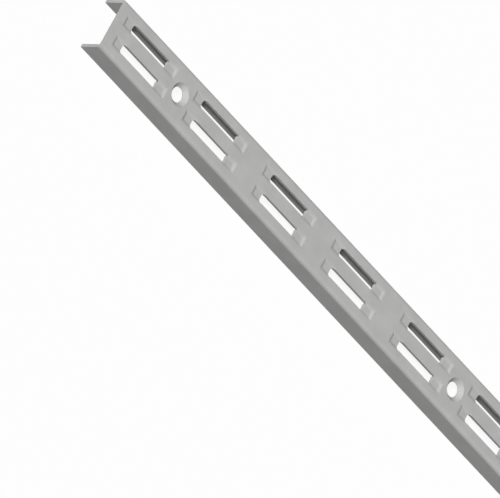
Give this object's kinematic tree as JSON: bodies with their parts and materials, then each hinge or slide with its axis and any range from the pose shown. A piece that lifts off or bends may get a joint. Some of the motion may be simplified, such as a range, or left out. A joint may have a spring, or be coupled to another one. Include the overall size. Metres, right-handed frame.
{
  "type": "twin slot shelf upright",
  "caption": "Twin slot shelf upright: a slotted steel wall channel with pressed recesses at the slot ends and countersunk screw holes.",
  "frame": {"origin": "middle of the bounding box's underside: midway between the cut ends and between the flanges, on the plane of the flange edges", "axes": "+X along the upright, +Y across it, +Z out through the slotted front face, which lies uppermost"},
  "size_m": [0.495, 0.024, 0.0118],
  "materials": {
    "coated_steel": "satin light grey powder coat"
  },
  "bodies": {
    "root": {"upright": "coated_steel"}
  },
  "joints": []
}
